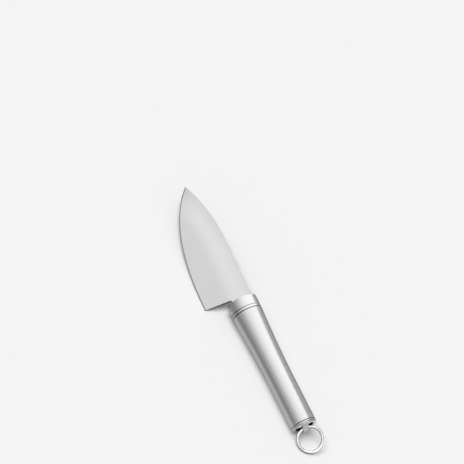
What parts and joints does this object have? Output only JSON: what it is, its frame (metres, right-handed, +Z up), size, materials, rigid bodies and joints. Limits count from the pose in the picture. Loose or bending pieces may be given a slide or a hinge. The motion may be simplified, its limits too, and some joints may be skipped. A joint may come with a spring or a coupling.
{
  "type": "vegetable knife",
  "caption": "Vegetable knife with a broad pointed steel blade, a round flared steel handle and a hanging ring that swings in the end cap.",
  "frame": {"origin": "middle of the bottom of the knife's box, on the surface that the knife lies on with its handle and its heel", "axes": "+X along the knife towards the tip, +Y level across it towards the side of the cutting edge, +Z up from the surface"},
  "size_m": [0.2098, 0.0336, 0.0216],
  "materials": {
    "blade_steel": "fine satin",
    "handle_steel": "brushed",
    "pin_steel": "plain",
    "core_plastic": "matte",
    "ring_steel": "polished"
  },
  "bodies": {
    "knife": {"blade": "blade_steel", "bolster": "handle_steel", "tang_pin": "pin_steel", "handle_core": "core_plastic", "handle_tube": "handle_steel", "end_cap": "handle_steel"},
    "ring": {"hanging_ring": "ring_steel"}
  },
  "joints": [
    {"name": "ring_swing", "type": "hinge", "parent": "knife", "child": "ring", "pos_m": [-0.08821, -0.0061, 0.00882], "axis": [0.009, 0.9042, -0.4271], "range_deg": [-38, 82]}
  ]
}
